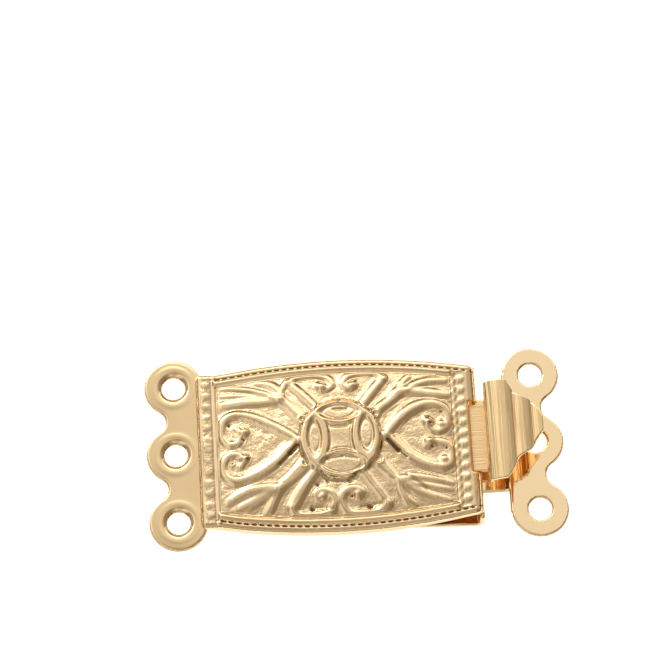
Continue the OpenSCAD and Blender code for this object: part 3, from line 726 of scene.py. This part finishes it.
def build_box_rings():
    """Ring plate of the box: its rim rolls down by a quarter circle, and its holes are dished by a smooth
    step, with a low crown round each."""
    ring = BOX_RING
    web_end = FACE_X0 + 0.5

    def outline(x, y):
        return ring_outline(ring["x"] - x, y, ring, ring["x"] - web_end, WEB_HALF)

    u, v, away = cut_grid(even(-12.36, web_end, 0.05), even(-6.15, 6.15, 0.05), outline, 0.028)
    from_hole = np.hypot(u - ring["x"], v - nearest_ring(v)) - ring["hole"]
    # The rim is the outline of the same plate without its holes and with an endless web
    from_rim = -ring_outline(ring["x"] - u, v, dict(ring, hole=-9.0), -9.0, WEB_HALF)
    roll = ROLL_H * (1 - rounded(from_rim + 0.02, ROLL_RUN))
    dish = DISH_H * ease(1 - from_hole / DISH_RUN) ** 0.8
    crown = CROWN_H * bell(from_hole - CROWN_AT, CROWN_RUN)
    top_z = ring["top"] - 0.05 + crown - roll - dish
    share = rounded(-away, 0.03)
    top = np.stack([u, v, top_z - SHEET / 2 * (1 - share)], -1)
    bottom = np.stack([u, v, top_z - SHEET / 2 * (1 + share)], -1)
    sheet = cut_skin(top, bottom, away)
    make_piece("box_ring_plate", sheet, "box", "box_shell", materials["plate"], cut_edge_shade(away))


def build_tongue():
    """Lower leaf of the tongue: a flat strip that steps up to its ring plate."""
    ring = TONGUE_RING
    plate_x0 = ring["x"] - ring["r"]

    def outline(x, y):
        rings = ring_outline(x - ring["x"], y, ring, -ring["r"], PITCH)
        strip = box_outline(x, y, FOLD_X, ring["x"] - 0.9, LEAF_HALF)
        return np.minimum(rings, strip)

    def climb(x):
        return ease((x - plate_x0 + STEP_LEAD) / STEP_RUN)

    def path(x):
        nudge = 1e-3
        steepness = (climb(x + nudge) - climb(x)) / nudge
        rise = RING_MID - BASE_MID
        return x, BASE_MID + rise * climb(x), np.arctan(steepness * rise)

    u_lines = lines(even(FOLD_X, 7, 0.4), even(7, 9, 0.1), even(9, 13.26, 0.06))
    u, v, away = cut_grid(u_lines, even(-6.11, 6.11, 0.062), outline, 0.034)
    sheet = sheet_along(u, v, away, path, LEAF, 0.032)
    make_piece("tongue_plate", sheet, "tongue", "tongue_base", materials["tongue"], cut_edge_shade(away))


def build_spring():
    """Fold of the tongue and its sprung leaf, which in the clasp bends at the fold as the grip is pressed;
    here it is built at rest and fixed in place.
    """
    run = SHOULDER_X - FOLD_X
    turn = np.linspace(0, math.pi, 24)
    arc = np.stack([FOLD_X - FOLD_MID_R * np.sin(turn), FOLD_Z - FOLD_MID_R * np.cos(turn)], 1)
    tip = [[FOLD_X + run, FOLD_Z + FOLD_MID_R + run * math.tan(SPRING_ANGLE)]]
    path, lengths = path_along(np.vstack([arc, tip]))
    arc_length, length = lengths[-2:]

    def outline(u, v):
        return box_outline(u, v, 0, length, LEAF_HALF)

    u_lines = lines(
        np.linspace(0, arc_length, 20), even(arc_length, length - 0.5, 0.3), even(length - 0.5, length, 0.05)
    )
    rims = [side * (LEAF_HALF - inside) for side in (-1, 1) for inside in (0.04, 0.1)]
    v_lines = lines(even(-LEAF_HALF, LEAF_HALF, 0.3), rims)
    u, v, away = cut_grid(u_lines, v_lines, outline, 1e-6)
    sheet = sheet_along(u, v, away, path, LEAF, 0.08)
    base = (FOLD_X * MM, 0, (FOLD_Z - FOLD_MID_R) * MM)
    high = (FOLD_X * MM, 0, BEND_TOP * MM)
    bodies = ("tongue", "lever", base, high)
    make_piece("tongue_fold", sheet, bodies, "tongue_spring", materials["plate"])


def build_grip():
    """Neck, upright and corrugated plate of the thumb grip: one sheet along one path. The neck climbs on from
    the sprung leaf, and each ridge is an arc of RIDGE_H over RIDGE_W, the first one rising from a knee."""
    up_x = GRIP_X0 + LEAF / 2
    top_mid = GRIP_Z - LEAF / 2
    climb = math.tan(SPRING_ANGLE)
    neck_z = FOLD_Z + FOLD_MID_R
    corners = [
        [SHOULDER_X + 0.01, neck_z + (SHOULDER_X - FOLD_X) * climb], [up_x, neck_z + (up_x - FOLD_X) * climb],
        [up_x, GRIP_Z - RIDGE_H - LEAF / 2 + 0.04], [RIDGE_X0, GRIP_Z + KNEE_H - LEAF / 2],
    ]
    stem = bent_line(corners, NECK_BENDS)
    ridge_r = RIDGE_W**2 / (8 * RIDGE_H) + RIDGE_H / 2
    run = np.linspace(0, GRIP_X1 - RIDGE_X0, 90)[1:]
    off = run - RIDGE_W * (np.floor(run / RIDGE_W) + 0.5)
    arc = np.sqrt(ridge_r**2 - off**2) - ridge_r + RIDGE_H
    first = KNEE_H + (RIDGE_H - KNEE_H) * (1 - (1 - run / (RIDGE_W / 2)) ** 2)
    ridges = top_mid + np.where(run < RIDGE_W / 2, first, arc)
    line = np.vstack([stem, np.stack([RIDGE_X0 + run, ridges], 1)])
    path, lengths = path_along(line)
    past_upright = int(np.argmax(line[:, 0] > up_x + 0.01))
    upto = slice(past_upright + 1)

    def at(x):
        return np.interp(x, line[past_upright:, 0], lengths[past_upright:])

    plate_start, brush_end = np.interp([GRIP_Z - PLATE_DROP, BRUSH_Z], line[upto, 1], lengths[upto])
    far, near = GRIP_HALF + GRIP_SHIFT, -GRIP_HALF
    plate = np.array(
        [[plate_start, far - 0.05], [plate_start + 0.12, far]]
        + [[at(x), y] for x, y in GRIP_FAR + GRIP_NEAR]
        + [[plate_start + 0.12, near], [plate_start, near + 0.05]]
    )

    def outline(u, v):
        neck_outline = box_outline(u, v - GRIP_SHIFT, 0, plate_start + 0.3, NECK_HALF)
        return np.minimum(neck_outline, polygon_outline(u, v, plate))

    u, v, away = cut_grid(even(0, lengths[-1], 0.045), even(near, far, 0.05), outline, 0.027)
    sheet = sheet_along(u, v, away, path, LEAF * 0.98, 0.06)
    marks = {"brushed": both_sides((u < brush_end).astype(float))}
    make_piece("grip_sheet", sheet, "lever", "thumb_grip", materials["grip"], marks)


# ---- materials ----------------------------------------------------------------------------

class Value:
    """A shader socket that Python expressions can use: each operator adds a Math node."""

    def __init__(self, graph, socket):
        self.graph, self.socket = graph, socket

    def _operator(kind, turned=False):
        """Method that adds a Math node of that kind; turned puts the other value first."""
        def method(self, other):
            a, b = (other, self) if turned else (self, other)
            return self.graph.node("ShaderNodeMath", {"operation": kind}, {0: a, 1: b})

        return method

    __add__, __radd__ = _operator("ADD"), _operator("ADD", True)
    __sub__, __rsub__ = _operator("SUBTRACT"), _operator("SUBTRACT", True)
    __mul__, __rmul__ = _operator("MULTIPLY"), _operator("MULTIPLY", True)


class Graph:
    """Node tree of a new material or world, with one method that adds any node."""

    def __init__(self, owner, shader):
        owner.use_nodes = True
        self.owner, self.tree = owner, owner.node_tree
        self.shader = next(n for n in self.tree.nodes if n.type == shader)

    def fill(self, node, inputs):
        """Sets a node's inputs to values, or links them to nodes."""
        for key, value in inputs.items():
            if isinstance(value, Value):
                self.tree.links.new(value.socket, node.inputs[key])
            else:
                node.inputs[key].default_value = value

    def node(self, kind, settings, inputs, output=0):
        """Adds a node with those settings and inputs."""
        made = self.tree.nodes.new(kind)
        for key, value in settings.items():
            setattr(made, key, value)
        self.fill(made, inputs)
        return Value(self, made.outputs[output])

    def shade(self, inputs):
        """Fills the main shader's inputs and gives the material or world."""
        self.fill(self.shader, inputs)
        return self.owner

    def mark(self, name):
        """A piece's own attribute of that name."""
        return self.node("ShaderNodeAttribute", {"attribute_name": name}, {}, "Fac")

    def noise(self, scale, stretch=(1, 1, 1), detail=2.0, rough=0.5):
        """Noise with scale features a millimetre, stretched along the axes."""
        place = self.node("ShaderNodeTexCoord", {}, {}, "Object")
        where = self.node("ShaderNodeVectorMath", {"operation": "MULTIPLY"}, {0: place, 1: stretch})
        return self.node(
            "ShaderNodeTexNoise", {},
            {"Vector": where, "Scale": scale / MM, "Detail": detail, "Roughness": rough},
        )

    def tint(self, low, high, mask):
        """Colour from low to high by the mask; low may be a node's colour."""
        low = low if isinstance(low, Value) else (*low, 1)
        return self.node("ShaderNodeMix", {"data_type": "RGBA"}, {0: mask, 6: low, 7: (*high, 1)}, 2)

    def finish(self, color, rough, height, strength, distance):
        """Metal with that colour, roughness and bump; distance is the bump's depth in millimetres."""
        bump = self.node(
            "ShaderNodeBump", {}, {"Strength": strength, "Distance": distance * MM, "Height": height}
        )
        return self.shade({"Base Color": color, "Roughness": rough, "Metallic": 1.0, "Normal": bump})


def principled(name):
    """Graph of a new material that is one Principled shader."""
    return Graph(bpy.data.materials.new(name), "BSDF_PRINCIPLED")


# Gold of each kind of piece: its colour from [low] to [high]; the tongue's is painted lighter, as painted
# light
FACE_COLORS = [(0.8, 0.57, 0.31), (0.88, 0.66, 0.4)]
PLATE_COLORS = [(0.85, 0.61, 0.325), (0.89, 0.655, 0.375)]
TONGUE_LIT_COLORS = [(0.92, 0.68, 0.385), (0.97, 0.74, 0.45)]
GRIP_COLORS = [(0.79, 0.55, 0.28), (0.86, 0.62, 0.34)]
# Painted shade at the cut edges, and in the slots, pits and creases and between the beads
EDGE_SHADE_COLOR = (0.33, 0.21, 0.09)
SLOT_SHADE_COLOR = (0.13, 0.072, 0.026)
FLOOR_COLORS = [(0.93, 0.93, 0.93), (0.96, 0.96, 0.96)]
FLOOR_GLOW = 0.75


def polished_gold():
    """Stamped face: bright strokes, a pebbled, duller background, and painted shade in the slots, pits and
    creases.
    """
    graph = principled("polished_gold")
    ground = graph.mark("background")
    pebbles = graph.noise(5.0, detail=3.0, rough=0.6)
    cloud = graph.noise(0.8, detail=1.0)
    waves = graph.noise(1.0, detail=1.5)
    rough = 0.04 + 0.12 * ground + 0.06 * cloud
    height = pebbles * (0.06 + 0.22 * ground) + waves * (0.3 + 0.55 * ground)
    # Painted shade in the slots, pits and creases
    color = graph.tint(graph.tint(*FACE_COLORS, cloud), SLOT_SHADE_COLOR, graph.mark("slot"))
    return graph.finish(color, rough, height, 0.8, 0.2)


def plate_gold():
    """Flat plates: a bright plating with fine grain and faint long scratches, and painted shade at the cut
    edges.
    """
    graph = principled("plate_gold")
    grain = graph.noise(14.0)
    scratches = graph.noise(3.0, stretch=(0.3, 3, 1))
    cloud = graph.noise(0.6, detail=1.0)
    # Painted shade at the cut edges
    color = graph.tint(graph.tint(*PLATE_COLORS, cloud), EDGE_SHADE_COLOR, graph.mark("edge"))
    return graph.finish(color, 0.08 + 0.08 * cloud, grain * 0.5 + scratches * 0.5, 0.3, 0.012)


def tongue_gold():
    """Flat leaf of the tongue: nearly mirror bright, with faint scratches, painted lighter than the box's
    plates as painted light, and with painted shade at the cut edges.
    """
    graph = principled("tongue_gold")
    scratches = graph.noise(3.0, stretch=(0.3, 3, 1))
    cloud = graph.noise(0.6, detail=1.0)
    # Painted shade at the cut edges
    color = graph.tint(graph.tint(*TONGUE_LIT_COLORS, cloud), EDGE_SHADE_COLOR, graph.mark("edge"))
    return graph.finish(color, 0.03 + 0.06 * cloud, scratches, 0.25, 0.008)


def grip_gold():
    """Grip: bright ridges streaked along their length, and a neck brushed along the clasp."""
    graph = principled("grip_gold")
    brushed = graph.mark("brushed")
    strokes = graph.noise(4.0, stretch=(0.12, 3.5, 0.5), detail=3.0)
    streaks = graph.noise(3.0, stretch=(2.2, 0.06, 1.0), detail=3.0)
    cloud = graph.noise(0.6, detail=1.0)
    rough = 0.1 + 0.26 * brushed + 0.08 * cloud
    height = strokes * (0.1 + 1.1 * brushed) + streaks * (3.0 - 3.0 * brushed)
    return graph.finish(graph.tint(*GRIP_COLORS, cloud), rough, height, 0.5, 0.03)


def floor_white():
    """Pale paper: white with faint, slow unevenness."""
    graph = principled("floor_white")
    return graph.shade({
        "Base Color": graph.tint(*FLOOR_COLORS, graph.noise(0.02, detail=1.0)),
        "Roughness": 0.9, "Specular IOR Level": 0.1,
        "Emission Color": (1, 1, 1, 1), "Emission Strength": FLOOR_GLOW,
    })


materials = {"polished": polished_gold(), "plate": plate_gold(), "tongue": tongue_gold(), "grip": grip_gold()}


# ---- stage --------------------------------------------------------------------------------

# Floor: its half size and how far it lies under the clasp, in millimetres
FLOOR_HALF, FLOOR_DROP = 400, 0.02
# Brightness of the room all round, and what each part of it adds
ROOM = 0.19
SKY, BEHIND, STRIP, WINDOW, FRONT, LEFT = 0.26, 0.42, 0.1, 1.05, 0.25, 0.45
# Share of it that is missing on the right
RIGHT_SHADE = 0.32
# Colours of the room where it is dim and where it is bright
DIM_COLOR, BRIGHT_COLOR = (1, 0.86, 0.66), (1, 0.99, 0.97)
# Lamp: its place, its width and height, and its power
LAMP_AT, LAMP_SIZE, LAMP_POWER = (-110, 210, 190), (110, 80), 0.12
# Camera fitted to the six holes in the photo: its place, turn and rise, and its focal length, with the
# photo's width, in pixels
CAMERA_AT = (-4.7105, -67.8979, 198.4757)
CAMERA_TURN, CAMERA_RISE = math.radians(-3.145), math.radians(69.0)
FOCAL_PX, PHOTO_PX, SENSOR = 3400, 665, 36


def build_stage():
    """Plain pale floor under the clasp."""
    half = FLOOR_HALF * MM
    mesh = bpy.data.meshes.new("floor")
    corners = [(-half, -half, 0), (half, -half, 0), (half, half, 0), (-half, half, 0)]
    mesh.from_pydata(corners, [], [(0, 1, 2, 3)])
    mesh.materials.append(floor_white())
    add_object(mesh, (0, 0, -FLOOR_DROP))


def build_lamp():
    """Rectangular soft lamp, high behind the clasp on its left, that faces its middle."""
    data = bpy.data.lights.new("key", "AREA")
    data.shape = "RECTANGLE"
    data.size, data.size_y = LAMP_SIZE[0] * MM, LAMP_SIZE[1] * MM
    data.energy = LAMP_POWER
    add_object(data, LAMP_AT, -Vector(LAMP_AT))


def build_room():
    """World of a soft studio: brighter overhead and behind, with a window low behind, a front panel, a
    strip over the middle and a panel on the left, and dimmer on the right."""
    graph = Graph(bpy.data.worlds.new("room"), "BACKGROUND")
    way = graph.node("ShaderNodeTexCoord", {}, {}, "Generated")
    side, back, up = (graph.node("ShaderNodeSeparateXYZ", {}, {0: way}, axis) for axis in "XYZ")

    def soft_step(value, low, high):
        return graph.node(
            "ShaderNodeMapRange", {"interpolation_type": "SMOOTHSTEP"}, {0: value, 1: low, 2: high}
        )

    def band(value, rise, fall):
        """1 between two soft edges, each given by where it starts and where it ends."""
        return soft_step(value, *rise) * (1 - soft_step(value, *fall))

    sky = soft_step(up, 0.0, 0.5)
    behind = soft_step(back, -0.15, 0.42) * soft_step(up, 0.1, 0.6)
    window = band(back, (0.48, 0.58), (0.8, 0.92)) * soft_step(up, 0.1, 0.3)
    front = soft_step(back, -0.6, -0.85) * soft_step(up, 0.2, 0.45)
    strip = band(side, (-0.08, 0.1), (0.12, 0.3))
    left = band(side, (-0.3, -0.4), (-0.65, -0.8)) * sky
    bright = ROOM + SKY * sky + BEHIND * behind + STRIP * strip + WINDOW * window
    bright = (bright + FRONT * front + LEFT * left) * (1 - RIGHT_SHADE * soft_step(side, 0.15, 0.5))
    color = graph.tint(DIM_COLOR, BRIGHT_COLOR, soft_step(bright, 0.2, 0.7))
    bpy.context.scene.world = graph.shade({"Color": color, "Strength": bright})
    # Light finds its way through the box's narrow gaps only with some more mirrorings
    bpy.context.scene.cycles.glossy_bounces = 8


def build_camera():
    """Camera at the photo's height, turn and distance."""
    data = bpy.data.cameras.new("camera")
    data.sensor_width = SENSOR
    data.lens = FOCAL_PX / PHOTO_PX * SENSOR
    data.clip_start, data.clip_end = 0.01, 5
    level = math.cos(CAMERA_RISE)
    back = Vector((math.sin(CAMERA_TURN) * level, -math.cos(CAMERA_TURN) * level, math.sin(CAMERA_RISE)))
    bpy.context.scene.camera = add_object(data, CAMERA_AT, -back)


build_face()
build_fold()
build_box_rings()
build_tongue()
build_spring()
build_grip()
build_stage()
build_room()
build_lamp()
build_camera()
bpy.context.scene.view_settings.view_transform = "Standard"
